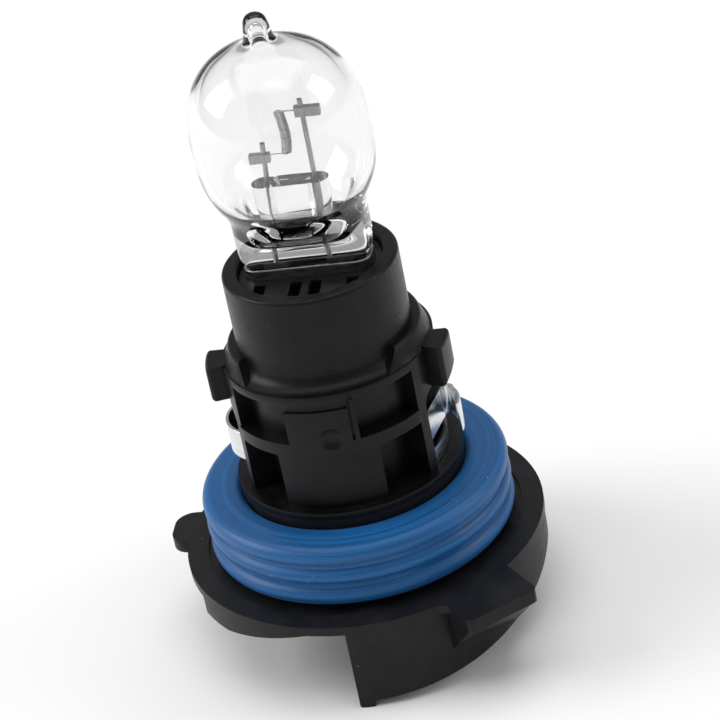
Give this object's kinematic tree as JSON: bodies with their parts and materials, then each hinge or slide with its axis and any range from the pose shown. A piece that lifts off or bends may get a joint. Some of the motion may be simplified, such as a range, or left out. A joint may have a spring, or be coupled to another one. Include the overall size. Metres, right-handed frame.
{
  "type": "halogen signal lamp",
  "caption": "Single-filament halogen signal lamp: clear glass burner with exhaust tip on a black plastic bayonet base with spring clips, blue ribbed seal and keyed flange.",
  "frame": {"origin": "the lamp axis in the plane of the flange's front face", "axes": "+Z along the lamp axis towards the glass tip, +X across the flat pinch, -Y towards the wide front column, with the key tab between +X and -Y"},
  "size_m": [0.0374, 0.0359, 0.0643],
  "materials": {
    "black_plastic": "satin moulded, lightly scuffed",
    "holder_plastic": "satin moulded",
    "blue_silicone": "satin silicone",
    "clear_glass": "clear polished",
    "bridge_glass": "clear polished",
    "spring_steel": "bright rolled strip",
    "bright_steel": "bright rolled sheet",
    "molybdenum": "drawn wire",
    "tungsten": "coiled wire",
    "tinned_brass": "tinned"
  },
  "bodies": {
    "lamp": {"rear_housing": "black_plastic", "seal_ring": "blue_silicone", "base_body": "black_plastic", "left_clip": "spring_steel", "right_clip": "spring_steel", "burner_holder": "holder_plastic", "pinch_clip": "bright_steel", "glass_bulb": "clear_glass", "glass_bridge": "bridge_glass", "filament_coil": "tungsten", "long_post": "molybdenum", "short_post": "molybdenum", "long_post_tab": "molybdenum", "short_post_tab": "molybdenum", "long_post_foil": "molybdenum", "short_post_foil": "molybdenum", "long_post_lead": "molybdenum", "short_post_lead": "molybdenum", "long_post_terminal": "tinned_brass", "short_post_terminal": "tinned_brass", "terminal_carrier": "holder_plastic"},
    "hook": {"right_tongue": "spring_steel"},
    "leaf": {"left_leaf": "spring_steel"}
  },
  "joints": [
    {"name": "hook_flex", "type": "hinge", "parent": "lamp", "child": "hook", "pos_m": [0.0109, 0.00075, 0.01235], "axis": [0, 0, -1], "range_deg": [0, 25], "stiffness_Nm_per_rad": 0.05},
    {"name": "bow_flex", "type": "hinge", "parent": "lamp", "child": "leaf", "pos_m": [-0.00877, -0.0039, 0.01235], "axis": [0, 0, -1], "range_deg": [0, 8], "stiffness_Nm_per_rad": 0.05}
  ]
}
